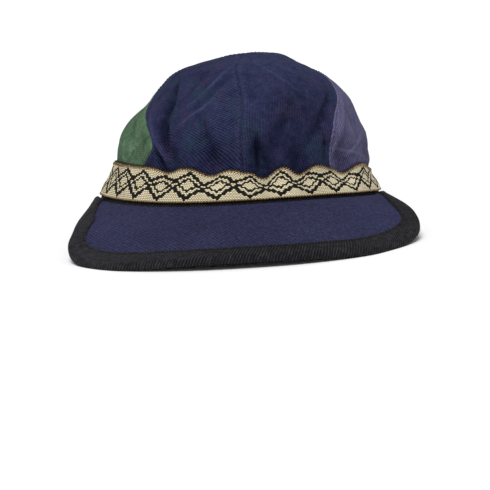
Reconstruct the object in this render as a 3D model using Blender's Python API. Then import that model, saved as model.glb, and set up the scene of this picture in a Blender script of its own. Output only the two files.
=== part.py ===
"""A five-panel cap with a bound peak and a patterned webbing strap drawn round its crown.

Sizes are in metres. The cap faces -Y with +Z up, and it stands as it would on a table: on the front
corners of its peak and on the back of its rim. Angles run round the crown from its front, in degrees,
positive towards +X. A station counts the rows of CROWN from the rim to the top.
"""

import math
from collections import namedtuple

import bpy
from mathutils import Matrix, Vector

MM = 0.001

# Crown, measured on the outside of the cloth at the rim
RIM_HALF_WIDTH = 87.3 * MM
RIM_HALF_DEPTH = 98.0 * MM
RIM_TWIST = 3.8 * MM
CROWN_HEIGHT = 92.5 * MM
CLOTH_WALL = 1.2 * MM
SEAM_GAP = 0.3 * MM
FOLD_DEPTH = 3.5 * MM
FOLD_WIDTH = 8.0 * MM

# Tape folded round the lower edge of the crown
TAPE = 1.0 * MM
CLEARANCE = 0.3 * MM
RIM_TAPE_OUTSIDE = 4.0 * MM
RIM_TAPE_INSIDE = 8.0 * MM

# Webbing strap and the slider on it
STRAP_WIDTH = 20.5 * MM
STRAP_THICKNESS = 1.3 * MM
STRAP_LIFT = 2.2 * MM
STRAP_BILLOW = 0.6 * MM
STRAP_DIP = 7.0 * MM
STRAP_SKEW = 2.4 * MM
STRAP_PLAY = 0.9 * MM
STRAP_BACK_FADE = 16.0 * MM
STRAP_SETTLE = 6.0 * MM
SLIDER_WIDTH = 28.0 * MM
SLIDER_FRONT = 3.0 * MM
SLIDER_BACK = 1.2 * MM
SLIDER_RAIL = 1.6 * MM
SLIDER_PLAY = 0.7 * MM

# Peak and the tape folded round its outer edge
PEAK_HALF_ANGLE = 68.0
PEAK_REACH = 60.0 * MM
PEAK_DROP = 24.8 * MM
PEAK_THICKNESS = 2.4 * MM
PEAK_TAPE = 0.8 * MM
PEAK_TOP = 0.6 * MM
PEAK_SWELL = 1.5 * MM
PEAK_TWIST_POWER = 8
PEAK_TAPE_WIDTH = 8.5 * MM
PEAK_TAPE_SHARE = 0.75
PEAK_TAPE_CORNER = 0.8 * MM
FLOOR_PRESS = 0.5 * MM

# How finely the pieces are meshed
PANEL_ROWS = 18
COLUMN_ANGLE = 4.5
RIM_COLUMNS = 72
STRAP_COLUMNS = 96
STRAP_ROWS = 3
PEAK_COLUMNS = 52
PEAK_ROWS = 6
SHARP_ANGLE = 50.0

# The steps over which slopes are taken, in degrees, in stations and as a share of a line across the peak
ANGLE_STEP = 0.5
STATION_STEP = 0.02
PEAK_STEP = 0.05

NAVY = (0.030, 0.032, 0.090)
GREEN = (0.035, 0.085, 0.050)
PURPLE = (0.065, 0.055, 0.120)
BLACK = (0.010, 0.010, 0.012)
BEIGE = (0.430, 0.370, 0.260)

# A row for each ring of the crown, evenly spaced up the cloth from the rim to the top. The height is a
# share of CROWN_HEIGHT, left and right are shares of RIM_HALF_WIDTH, front and back of RIM_HALF_DEPTH.
Ring = namedtuple("Ring", "height left right front back")
CROWN = [
    Ring(0.000, -1.000, 1.000, -1.000, 1.000),
    Ring(0.125, -0.942, 0.966, -0.962, 0.968),
    Ring(0.245, -0.885, 0.954, -0.928, 0.940),
    Ring(0.380, -0.867, 0.940, -0.915, 0.925),
    Ring(0.520, -0.788, 0.888, -0.880, 0.885),
    Ring(0.644, -0.640, 0.835, -0.815, 0.790),
    Ring(0.753, -0.538, 0.740, -0.715, 0.670),
    Ring(0.853, -0.420, 0.580, -0.590, 0.530),
    Ring(0.905, -0.273, 0.475, -0.445, 0.385),
    Ring(0.954, -0.045, 0.375, -0.290, 0.235),
    Ring(0.968, 0.105, 0.281, -0.135, 0.105),
    Ring(0.974, 0.182, 0.201, -0.018, 0.000),
]
TOP = len(CROWN) - 1

# The panels end this many stations below the top, where all five points meet
TIP = 0.04

# A row for each ring again, with the angle at which each seam crosses it
Seams = namedtuple("Seams", "centre left right back_left back_right")
SEAMS = [
    Seams(-1, -48, 41, -128, 128),
    Seams(-1, -48, 41, -128, 128),
    Seams(-1, -49, 40, -128, 128),
    Seams(-1, -43, 42, -128, 128),
    Seams(-1, -53, 48, -129, 129),
    Seams(-4, -73, 57, -130, 130),
    Seams(-6, -81, 68, -132, 132),
    Seams(-7, -92, 90, -136, 136),
    Seams(-8, -102, 101, -142, 142),
    Seams(-22, -110, 106, -150, 150),
    Seams(-38, -113, 108, -156, 156),
    Seams(-42, -115, 110, -160, 160),
]

# A row for each fold, from its lower to its upper end. A positive depth sinks into the crown. Depths are
# shares of FOLD_DEPTH and widths of FOLD_WIDTH. The first rows are the pinches that the strap draws in,
# whose middles lie at the strap's upper edge.
Fold = namedtuple("Fold", "low_station low_angle high_station high_angle depth width")
PINCHES = [
    Fold(0.4, -150, 3.2, -148, 0.70, 1.00),
    Fold(0.4, -124, 3.2, -126, 0.80, 1.00),
    Fold(0.4, -90, 3.2, -90, 0.20, 1.20),
    Fold(0.4, -31, 3.4, -36, 0.37, 0.90),
    Fold(0.4, -13, 3.4, -14, 0.60, 1.15),
    Fold(0.4, 1, 3.0, 0, 0.43, 0.95),
    Fold(0.4, 11, 3.8, 5, 1.00, 0.95),
    Fold(0.4, 24, 3.2, 23, 0.80, 0.95),
    Fold(0.4, 38, 3.0, 38, 0.26, 0.95),
    Fold(0.4, 48, 3.4, 47, 0.80, 1.30),
    Fold(0.4, 77, 3.2, 79, 0.60, 1.75),
    Fold(0.4, 92, 3.2, 92, 0.54, 1.40),
    Fold(0.4, 118, 3.2, 120, 0.75, 1.00),
    Fold(0.4, 148, 3.2, 147, 0.80, 1.00),
]
DRAPES = [
    Fold(3.6, -36, 9.8, -40, -0.60, 1.2),
    Fold(3.2, -48, 6.4, -66, 0.85, 1.5),
    Fold(4.0, -22, 6.8, -8, -0.45, 1.1),
    Fold(4.2, 22, 6.8, 30, -0.30, 1.6),
    Fold(3.2, 22, 6.0, 16, 0.35, 1.4),
    Fold(3.0, 70, 6.4, 62, -0.35, 1.2),
    Fold(3.0, 100, 6.0, 112, 0.45, 1.6),
    Fold(3.0, -86, 5.8, -80, 0.45, 1.5),
    Fold(3.2, 170, 7.0, 160, 0.50, 1.8),
    Fold(3.2, -162, 6.6, -168, -0.45, 1.6),
]

# A row for each line across the peak, from its left end to its right one. The turn is a share of
# PEAK_HALF_ANGLE, out and forward are shares of PEAK_REACH from the rim, and the drop of PEAK_DROP.
Rib = namedtuple("Rib", "turn out forward drop")
PEAK = [
    Rib(-1.00, -0.127, 0.157, 0.125),
    Rib(-0.90, -0.286, 0.531, 0.305),
    Rib(-0.80, -0.408, 0.685, 0.492),
    Rib(-0.70, -0.525, 0.800, 0.696),
    Rib(-0.60, -0.562, 0.860, 0.905),
    Rib(-0.50, -0.509, 0.918, 1.005),
    Rib(-0.40, -0.436, 0.982, 1.016),
    Rib(-0.20, -0.220, 1.017, 0.967),
    Rib(0.00, 0.000, 1.021, 0.950),
    Rib(0.20, 0.228, 1.015, 0.980),
    Rib(0.40, 0.428, 0.971, 1.016),
    Rib(0.50, 0.486, 0.891, 0.988),
    Rib(0.60, 0.540, 0.828, 0.880),
    Rib(0.70, 0.530, 0.782, 0.694),
    Rib(0.80, 0.433, 0.665, 0.484),
    Rib(0.90, 0.293, 0.507, 0.288),
    Rib(1.00, 0.113, 0.132, 0.124),
]


def lerp(a, b, share):
    return a + (b - a) * share


def ease(share):
    """A smooth step from 0 to 1 as the share goes from 0 to 1."""
    share = max(0.0, min(1.0, share))
    return share * share * (3 - 2 * share)


def through(places, values, at):
    """The height at one place of a smooth curve through the values, with no overshoot at its ends."""
    last = len(places) - 2
    i = max(0, min(last, sum(1 for place in places[1:-1] if place <= at)))
    before, after = max(i - 1, 0), min(i + 2, len(places) - 1)
    span = places[i + 1] - places[i]
    slope_in = (values[i + 1] - values[before]) / (places[i + 1] - places[before])
    slope_out = (values[after] - values[i]) / (places[after] - places[i])
    t = (at - places[i]) / span
    bend_in = t * (1 - t) * (1 - t) * span * slope_in
    bend_out = t * t * (t - 1) * span * slope_out
    return lerp(values[i], values[i + 1], t * t * (3 - 2 * t)) + bend_in + bend_out


def row_at(table, at, places=None):
    """The table's row at a place between its rows, as a named row."""
    places = places or list(range(len(table)))
    return type(table[0])(*(through(places, column, at) for column in zip(*table)))


def from_angle(angle, to):
    """The short way round from one angle to another."""
    return (to - angle + 180.0) % 360.0 - 180.0


def smooth_crown(angle, station):
    """A point on the crown before it is folded."""
    ring = row_at(CROWN, station)
    turn = math.radians(angle)
    half_width = (ring.right - ring.left) / 2 * RIM_HALF_WIDTH
    half_depth = (ring.back - ring.front) / 2 * RIM_HALF_DEPTH
    x = (ring.left + ring.right) / 2 * RIM_HALF_WIDTH + half_width * math.sin(turn)
    y = (ring.front + ring.back) / 2 * RIM_HALF_DEPTH - half_depth * math.cos(turn)
    z = ring.height * CROWN_HEIGHT - RIM_TWIST * math.sin(turn) ** 3 * (1 - station / TOP)
    return Vector((x, y, z))


def normal_of(surface, angle, station):
    """The outward direction of a surface that is given as a function of an angle and a station."""
    around = surface(angle + ANGLE_STEP, station) - surface(angle - ANGLE_STEP, station)
    upwards = surface(angle, station + STATION_STEP) - surface(angle, station - STATION_STEP)
    return around.cross(upwards).normalized()


def fold_depth(folds, angle, station):
    """How far the folds draw the cloth in at a place, as a share of FOLD_DEPTH."""
    depth = 0.0
    for fold in folds:
        along = (station - fold.low_station) / (fold.high_station - fold.low_station)
        if 0.0 < along < 1.0:
            middle = lerp(fold.low_angle, fold.high_angle, along)
            away = math.radians(from_angle(middle, angle)) * RIM_HALF_WIDTH / (fold.width * FOLD_WIDTH)
            depth += fold.depth * math.sin(math.pi * along) * math.exp(-away * away)
    return depth


def crown(angle, station):
    """A point on the outside of the folded crown."""
    point = smooth_crown(angle, station)
    depth = fold_depth(PINCHES, angle, station) + fold_depth(DRAPES, angle, station)
    if depth == 0.0:
        return point
    return point - normal_of(smooth_crown, angle, station) * depth * FOLD_DEPTH


def off_crown(angle, station, outwards):
    """A point a distance outside the folded crown, or inside it where the distance is negative."""
    return crown(angle, station) + normal_of(crown, angle, station) * outwards


def station_per_metre(angle):
    """How many stations a metre up the cloth from the rim takes."""
    return STATION_STEP / (crown(angle, STATION_STEP) - crown(angle, 0.0)).length


def by_the_rim(angle, up, outwards):
    """A point near the rim: a distance up the cloth from its edge, or below it, and one outside it."""
    if up >= 0.0:
        return off_crown(angle, up * station_per_metre(angle), outwards)
    down = (crown(angle, 0.0) - crown(angle, STATION_STEP)).normalized()
    return off_crown(angle, 0.0, outwards) - down * up


def strap_pinch(angle):
    """How far the strap's upper edge is drawn in at an angle, from 0 to 1."""
    upper_edge = (STRAP_LIFT + STRAP_WIDTH) * station_per_metre(angle)
    return min(1.0, fold_depth(PINCHES, angle, upper_edge))


def room_for_slider(angle):
    """How far the strap has moved out for the slider's bar behind it, from 0 to 1 at the back."""
    from_back = abs(math.radians(from_angle(180.0, angle))) * RIM_HALF_WIDTH
    return 1 - ease((from_back - SLIDER_WIDTH / 2 - CLEARANCE) / STRAP_BACK_FADE)


def strap(angle, across, outwards):
    """A point on the strap, from its lower edge at 0 to its upper edge at 1, and so far off its back.

    It lies over the rim's tape below and settles on the crown above, except at the slider behind it.
    """
    pinch = strap_pinch(angle)
    high = STRAP_LIFT + STRAP_WIDTH - STRAP_DIP * pinch - STRAP_SKEW * math.sin(math.radians(angle))
    room = room_for_slider(angle)
    billow = STRAP_BILLOW * across ** 2 * (1 - pinch)
    above_tape = (lerp(STRAP_LIFT, high, across) - 2 * RIM_TAPE_OUTSIDE) / STRAP_SETTLE
    over_tape = lerp(CLEARANCE + TAPE, STRAP_PLAY - CLEARANCE, ease(above_tape))
    stand_off = CLEARANCE + lerp(over_tape + billow, CLEARANCE + TAPE + SLIDER_BACK + SLIDER_PLAY, room)
    return by_the_rim(angle, lerp(STRAP_LIFT, high, across), stand_off + outwards)


def rim_edge(angle):
    """Where the peak meets the tape round the rim, at the height of the crown's edge."""
    tape = by_the_rim(angle, -CLEARANCE - TAPE, CLEARANCE + TAPE)
    outwards = Vector((tape.x / RIM_HALF_WIDTH ** 2, tape.y / RIM_HALF_DEPTH ** 2, 0.0)).normalized()
    return Vector((tape.x, tape.y, smooth_crown(angle, 0.0).z)) + outwards * CLEARANCE


def peak_middle(turn, out):
    """A point half way through the peak: turn runs from -1 to 1 across it, out from the rim to its edge."""
    rib = row_at(PEAK, turn, [row.turn for row in PEAK])
    inner = rim_edge(turn * PEAK_HALF_ANGLE)
    inner.z += PEAK_TOP - PEAK_THICKNESS / 2
    twist = smooth_crown(turn * PEAK_HALF_ANGLE, 0.0).z * abs(turn) ** PEAK_TWIST_POWER
    reach = Vector((rib.out * PEAK_REACH, -rib.forward * PEAK_REACH, 0.0))
    reach.z = twist - rib.drop * PEAK_DROP - inner.z
    swell = PEAK_SWELL * 4 * out * (1 - out)
    return inner + reach * out + Vector((0.0, 0.0, swell))


def peak_line_length(turn):
    return (peak_middle(turn, 1.0) - peak_middle(turn, 0.0)).length


def tape_leg(turn):
    """How far along a line across the peak its tape reaches in, less at the ends where the peak is narrow."""
    edge = peak_middle(min(turn + PEAK_STEP, 1.0), 1.0) - peak_middle(max(turn - PEAK_STEP, -1.0), 1.0)
    inwards = peak_middle(turn, 1.0) - peak_middle(turn, 1.0 - PEAK_STEP)
    slant = math.sin(edge.angle(inwards))
    return min(PEAK_TAPE_WIDTH / slant, PEAK_TAPE_SHARE * peak_line_length(turn))


def peak_edge(turn, inwards, up):
    """A point by the peak's outer edge: a distance in from it, or beyond it, and one above its middle."""
    length = peak_line_length(turn)
    if inwards >= 0.0:
        point = peak_middle(turn, 1.0 - inwards / length)
    else:
        beyond = (peak_middle(turn, 1.0) - peak_middle(turn, 1.0 - PEAK_STEP)).normalized()
        point = peak_middle(turn, 1.0) - beyond * inwards
    return point + Vector((0.0, 0.0, up))


def peak_turns():
    """Places from one end of the peak to the other."""
    return [lerp(-1.0, 1.0, i / PEAK_COLUMNS) for i in range(PEAK_COLUMNS + 1)]


def under_peak_edge():
    """Points along the underside of the tape round the peak."""
    below = PEAK_THICKNESS / 2 + CLEARANCE + PEAK_TAPE
    return [peak_edge(turn, 0.0, -below) for turn in peak_turns()]


def resting_place():
    """The matrix that turns the cap from level to the way it rests, over the middle of its own box."""
    rim_rear = by_the_rim(180.0, -CLEARANCE - TAPE, CLEARANCE + TAPE)
    lean = max(math.atan2(rim_rear.z - point.z, rim_rear.y - point.y) for point in under_peak_edge())
    tilt = Matrix.Rotation(-lean, 4, "X")
    low = min((tilt @ point).z for point in under_peak_edge())
    front = min((tilt @ peak_edge(turn, -CLEARANCE - PEAK_TAPE, 0.0)).y for turn in peak_turns())
    rear = max((tilt @ slider_corner(180.0, high, 1.0, 1.0)).y for high in (0.0, 0.5, 1.0))
    return Matrix.Translation((0.0, -(front + rear) / 2, -low - FLOOR_PRESS)) @ tilt


def fabric(name, colour, roughness):
    material = bpy.data.materials.new(name)
    material.use_nodes = True
    shader = material.node_tree.nodes["Principled BSDF"]
    shader.inputs["Base Color"].default_value = (*colour, 1.0)
    shader.inputs["Roughness"].default_value = roughness
    shader.inputs["Metallic"].default_value = 0.0
    material.diffuse_color = (*colour, 1.0)
    return material


def add_object(name, points, faces, material):
    """A closed mesh in its resting place, pressed flat where it would sink into the table."""
    mesh = bpy.data.meshes.new(name)
    placed = [PLACE @ point for point in points]
    mesh.from_pydata([(p.x, p.y, max(p.z, 0.0)) for p in placed], [], faces)
    mesh.materials.append(material)
    mesh.shade_smooth()
    mesh.set_sharp_from_angle(angle=math.radians(SHARP_ANGLE))
    mesh.validate()
    piece = bpy.data.objects.new(name, mesh)
    bpy.context.scene.collection.objects.link(piece)
    return piece


def sheet_solid(name, outer, inner, material):
    """A closed body from two grids of points, the outside and the inside of a piece of cloth."""
    rows, columns = len(outer), len(outer[0])
    points = [point for grid in (outer, inner) for row in grid for point in row]
    inside = rows * columns

    def quad(a, b, c, d, turned):
        return (d, c, b, a) if turned else (a, b, c, d)

    faces = []
    for base, turned in ((0, False), (inside, True)):
        for i in range(rows - 1):
            for j in range(columns - 1):
                a = base + i * columns + j
                faces.append(quad(a, a + 1, a + columns + 1, a + columns, turned))
    border = [j for j in range(columns - 1)]
    border += [i * columns + columns - 1 for i in range(rows - 1)]
    border += [(rows - 1) * columns + j for j in range(columns - 1, 0, -1)]
    border += [i * columns for i in range(rows - 1, 0, -1)]
    for a, b in zip(border, border[1:] + border[:1]):
        faces.append((b, a, a + inside, b + inside))
    return add_object(name, points, faces, material)


def ring_solid(name, sections, material, closed):
    """A closed body swept through rings of points, round a loop or from one capped end to the other."""
    size = len(sections[0])
    points = [point for section in sections for point in section]
    faces = []
    count = len(sections) if closed else len(sections) - 1
    for i in range(count):
        start, following = i * size, (i + 1) % len(sections) * size
        for j in range(size):
            k = (j + 1) % size
            faces.append((start + j, following + j, following + k, start + k))
    if not closed:
        faces.append(tuple(range(size)))
        last = (len(sections) - 1) * size
        faces.append(tuple(last + j for j in reversed(range(size))))
    return add_object(name, points, faces, material)


def pipe_solid(name, outer, inner, material):
    """A closed body between two open tubes of points, one inside the other."""
    rows, size = len(outer), len(outer[0])
    points = [point for tube in (outer, inner) for section in tube for point in section]
    inside = rows * size
    faces = []
    for j in range(size):
        k = (j + 1) % size
        for start in range(0, (rows - 1) * size, size):
            faces.append((start + j, start + size + j, start + size + k, start + k))
            faces.append((inside + start + k, inside + start + size + k,
                          inside + start + size + j, inside + start + j))
        last = (rows - 1) * size
        faces.append((j, k, inside + k, inside + j))
        faces.append((last + k, last + j, inside + last + j, inside + last + k))
    return add_object(name, points, faces, material)


def seam_angle(seam, station):
    return getattr(row_at(SEAMS, station), seam)


def half_gap_angle(seam, station):
    """Half the gap at a seam as an angle round the crown, wider where the seam runs slantwise."""
    angle, over, under = seam_angle(seam, station), station + STATION_STEP, station - STATION_STEP
    around = smooth_crown(angle + ANGLE_STEP, station) - smooth_crown(angle, station)
    per_degree = around.length / ANGLE_STEP
    upwards = (smooth_crown(angle, over) - smooth_crown(angle, under)).length
    sideways = (seam_angle(seam, over) - seam_angle(seam, under)) * per_degree
    return SEAM_GAP / 2 / per_degree * math.hypot(upwards, sideways) / upwards


def crown_panel(name, low_seam, high_seam, colour):
    """One panel of the crown, from seam to seam and from the rim to the top."""
    rim_width = (seam_angle(high_seam, 0.0) - seam_angle(low_seam, 0.0)) % 360.0
    columns = round(rim_width / COLUMN_ANGLE)
    outer, inner = [], []
    for i in range(PANEL_ROWS + 1):
        station = (TOP - TIP) * i / PANEL_ROWS
        low = seam_angle(low_seam, station)
        high = low + (seam_angle(high_seam, station) - low) % 360.0
        low += half_gap_angle(low_seam, station)
        high -= half_gap_angle(high_seam, station)
        angles = [lerp(low, high, j / columns) for j in range(columns + 1)]
        outer.append([crown(angle, station) for angle in angles])
        inner.append([off_crown(angle, station, -CLOTH_WALL) for angle in angles])
    return sheet_solid(name, outer, inner, fabric(name, colour, 0.9))


def rim_binding():
    """The tape folded round the crown's lower edge: an outer leg, a fold below and an inner leg."""
    outside = CLEARANCE + TAPE
    inside = -CLOTH_WALL - CLEARANCE - TAPE
    profile = [
        (RIM_TAPE_OUTSIDE, outside),
        (-CLEARANCE - TAPE, outside),
        (-CLEARANCE - TAPE, inside),
        (RIM_TAPE_INSIDE, inside),
        (RIM_TAPE_INSIDE, -CLOTH_WALL - CLEARANCE),
        (-CLEARANCE, -CLOTH_WALL - CLEARANCE),
        (-CLEARANCE, CLEARANCE),
        (RIM_TAPE_OUTSIDE, CLEARANCE),
    ]
    sections = []
    for i in range(RIM_COLUMNS):
        angle = 360.0 * i / RIM_COLUMNS
        sections.append([by_the_rim(angle, up, outwards) for up, outwards in reversed(profile)])
    return ring_solid("rim_binding", sections, fabric("rim_binding", BLACK, 0.8), True)


def strap_loop():
    """The webbing, a closed loop whose upper edge is drawn in at the pinches and billows between them."""
    sections = []
    for i in range(STRAP_COLUMNS):
        angle = 360.0 * i / STRAP_COLUMNS
        shares = [row / STRAP_ROWS for row in range(STRAP_ROWS + 1)]
        section = [strap(angle, share, 0.0) for share in shares]
        section += [strap(angle, share, STRAP_THICKNESS) for share in reversed(shares)]
        sections.append(section[::-1])
    return ring_solid("strap", sections, fabric("strap", BEIGE, 0.85), True)


def slider_corner(angle, high, front, thick):
    """A point of the slider: high and front run from 0 to 1 over the strap, thick from its hole outwards."""
    up = lerp(-CLEARANCE - SLIDER_RAIL * thick, STRAP_WIDTH + CLEARANCE + SLIDER_RAIL * thick, high)
    outwards = lerp(-SLIDER_PLAY - SLIDER_BACK * thick,
                    STRAP_THICKNESS + SLIDER_PLAY + SLIDER_FRONT * thick, front)
    return strap(angle, up / STRAP_WIDTH, outwards)


def strap_slider():
    """A plain frame round the strap at the back: a bar in front of the webbing and one behind it."""
    corners = [(0.0, 0.0), (0.0, 1.0), (1.0, 1.0), (1.0, 0.0)]
    half_turn = math.degrees(SLIDER_WIDTH / 2 / RIM_HALF_WIDTH)
    outer, inner = [], []
    for share in (-1.0, -0.5, 0.0, 0.5, 1.0):
        angle = 180.0 + half_turn * share
        outer.append([slider_corner(angle, high, front, 1.0) for high, front in corners])
        inner.append([slider_corner(angle, high, front, 0.0) for high, front in corners])
    return pipe_solid("strap_slider", outer, inner, fabric("strap_slider", BLACK, 0.5))


def peak_body():
    """The cloth-covered board of the peak."""
    top, bottom = [], []
    up = Vector((0.0, 0.0, PEAK_THICKNESS / 2))
    for i in range(PEAK_ROWS, -1, -1):
        row = []
        for turn in peak_turns():
            bare_share = 1.0 - tape_leg(turn) / peak_line_length(turn)
            row.append(peak_middle(turn, min(1.0, bare_share * i / (PEAK_ROWS - 1))))
        top.append([point + up for point in row])
        bottom.append([point - up for point in row])
    return sheet_solid("peak", top, bottom, fabric("peak", NAVY, 0.85))


def peak_binding():
    """The ribbed tape folded round the outer edge of the peak, from one end to the other."""
    near = PEAK_THICKNESS / 2 + CLEARANCE
    far = near + PEAK_TAPE
    edge = -CLEARANCE - PEAK_TAPE
    sections = []
    for turn in peak_turns():
        leg = tape_leg(turn)
        profile = [
            (leg, near),
            (leg, far),
            (edge + PEAK_TAPE_CORNER, far),
            (edge, far - PEAK_TAPE_CORNER),
            (edge, PEAK_TAPE_CORNER - far),
            (edge + PEAK_TAPE_CORNER, -far),
            (leg, -far),
            (leg, -near),
            (-CLEARANCE, -near),
            (-CLEARANCE, near),
        ]
        sections.append([peak_edge(turn, inwards, up) for inwards, up in reversed(profile)])
    return ring_solid("peak_binding", sections, fabric("peak_binding", BLACK, 0.75), False)


for leftover in list(bpy.data.objects):
    bpy.data.objects.remove(leftover, do_unlink=True)

PLACE = resting_place()
crown_panel("front_panel_left", "left", "centre", NAVY)
crown_panel("front_panel_right", "centre", "right", NAVY)
crown_panel("side_panel_green", "back_left", "left", GREEN)
crown_panel("side_panel_purple", "right", "back_right", PURPLE)
crown_panel("back_panel", "back_right", "back_left", NAVY)
rim_binding()
strap_loop()
strap_slider()
peak_body()
peak_binding()
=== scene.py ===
"""The looks of a five-panel cap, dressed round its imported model.

Lengths are in metres. The cap faces -Y and rests on the floor at z = 0. Angles run round the crown from its
front, in degrees, positive towards +X. A station counts the rows of CROWN from the rim to the top.
"""

import math
from collections import namedtuple

import bpy
import numpy as np
from mathutils import Matrix, Vector


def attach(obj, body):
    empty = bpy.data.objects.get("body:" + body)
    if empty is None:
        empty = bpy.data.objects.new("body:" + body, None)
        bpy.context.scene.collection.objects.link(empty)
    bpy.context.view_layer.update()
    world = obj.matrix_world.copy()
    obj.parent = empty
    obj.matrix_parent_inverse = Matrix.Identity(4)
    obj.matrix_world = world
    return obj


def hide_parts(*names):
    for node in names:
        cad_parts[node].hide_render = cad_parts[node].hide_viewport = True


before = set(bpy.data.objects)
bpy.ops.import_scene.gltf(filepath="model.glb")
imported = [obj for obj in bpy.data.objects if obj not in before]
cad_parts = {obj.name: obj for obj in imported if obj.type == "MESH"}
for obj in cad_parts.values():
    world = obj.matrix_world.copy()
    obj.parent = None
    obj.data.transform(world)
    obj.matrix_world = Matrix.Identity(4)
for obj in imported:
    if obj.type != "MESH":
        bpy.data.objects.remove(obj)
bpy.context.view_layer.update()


# The crown: five panels of washed cotton twill in a single layer, two navy ones in front, a green and a
# violet one at the sides and a navy one behind. Their edges are folded to one side inside and stitched down
# from outside. The strap gathers the cloth above the rim, and the crown has slumped towards +X.

MM = 0.001
RIM_HALF_WIDTH = 87.3 * MM
RIM_HALF_DEPTH = 98.0 * MM
RIM_TWIST = 3.8 * MM
CROWN_HEIGHT = 92.5 * MM
CLOTH_WALL = 1.2 * MM
CLOTH_SLACK = 0.6 * MM
SEAM_DIP = 0.40 * MM
SEAM_DIP_WIDTH = 0.8 * MM
SEAM_RISE = 0.30 * MM
SEAM_ALLOWANCE = 5.0 * MM
ALLOWANCE_EDGE = 1.0 * MM
SEAM_SHOULDER = 1.2 * MM
SEAM_FADE = 0.5
SEAM_WEAR_AT = 2.0 * MM
WEAR_AND_SHADOW_WIDTH = 1.6 * MM
RIDGE_HEIGHT = 3.0 * MM
CREASE_HEIGHT = 0.4 * MM
TOP_LIGHT_FROM = 5.2
TOP_LIGHT_OVER = 3.4
CROWN_ROWS = 180
COLUMN_WIDTH = 1.0 * MM
STATION_STEP = 0.02
SLACK_FROM = 3.0
SLACK_OVER = 3.0
FOLD_FADE = 0.8
RUMPLE = 0.22 * MM
RUMPLE_OVER = 1.5
LEAN = math.radians(6.323)
RESTING_PLACE = np.array([0.0, 29.047 * MM, 11.372 * MM])
SHARP_EDGE = math.radians(55)

# A row for each ring of the crown, evenly spaced up the cloth from the rim to the top. The height is a
# share of CROWN_HEIGHT, left and right are shares of RIM_HALF_WIDTH, front and back of RIM_HALF_DEPTH.
Ring = namedtuple("Ring", "height left right front back")
CROWN = [
    Ring(0.000, -1.000, 1.000, -1.000, 1.000),
    Ring(0.125, -0.942, 0.966, -0.962, 0.968),
    Ring(0.245, -0.885, 0.954, -0.928, 0.940),
    Ring(0.380, -0.867, 0.940, -0.915, 0.925),
    Ring(0.520, -0.788, 0.888, -0.880, 0.885),
    Ring(0.644, -0.640, 0.835, -0.815, 0.790),
    Ring(0.753, -0.538, 0.740, -0.715, 0.670),
    Ring(0.853, -0.420, 0.580, -0.590, 0.530),
    Ring(0.905, -0.273, 0.475, -0.445, 0.385),
    Ring(0.954, -0.045, 0.375, -0.290, 0.235),
    Ring(0.968, 0.105, 0.281, -0.135, 0.105),
    Ring(0.974, 0.182, 0.201, -0.018, 0.000),
]
TOP = len(CROWN) - 1

# A row for each ring again, with the angle at which each seam crosses it
Seams = namedtuple("Seams", "centre left right back_left back_right")
SEAMS = [
    Seams(-1, -48, 41, -128, 128),
    Seams(-1, -48, 41, -128, 128),
    Seams(-1, -49, 40, -128, 128),
    Seams(-1, -43, 42, -128, 128),
    Seams(-1, -53, 48, -129, 129),
    Seams(-4, -73, 57, -130, 130),
    Seams(-6, -81, 68, -132, 132),
    Seams(-7, -92, 90, -136, 136),
    Seams(-8, -102, 101, -142, 142),
    Seams(-22, -110, 106, -150, 150),
    Seams(-38, -113, 108, -156, 156),
    Seams(-42, -115, 110, -160, 160),
]

# A row for each fold, from its lower to its upper end. The bow is the degrees by which its middle stands
# off the straight line between them. Depth and width are in millimetres, and a positive depth sinks in. The
# pinches are where the strap gathers the cloth.
Fold = namedtuple("Fold", "low_station low_angle bow high_station high_angle depth width")
PINCHES = [
    Fold(0.4, -150, 0, 3.2, -148, 2.5, 8.0),
    Fold(0.4, -124, 0, 3.2, -126, 2.8, 8.0),
    Fold(0.4, -90, 0, 3.2, -90, 0.7, 9.6),
    Fold(0.4, -31, 0, 3.4, -36, 1.3, 7.2),
    Fold(0.4, -13, 0, 3.4, -14, 2.1, 9.2),
    Fold(0.4, 1, 0, 3.0, 0, 1.5, 7.6),
    Fold(0.4, 11, 0, 3.5, 6, 3.5, 7.0),
    Fold(0.4, 24, 0, 3.2, 23, 2.8, 7.6),
    Fold(0.4, 38, 0, 3.0, 38, 0.9, 7.6),
    Fold(0.4, 48, 0, 3.4, 47, 2.8, 10.4),
    Fold(0.4, 77, 0, 3.2, 79, 2.1, 14.0),
    Fold(0.4, 92, 0, 3.2, 92, 1.9, 11.2),
    Fold(0.4, 118, 0, 3.2, 120, 2.6, 8.0),
    Fold(0.4, 148, 0, 3.2, 147, 2.8, 8.0),
]
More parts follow.
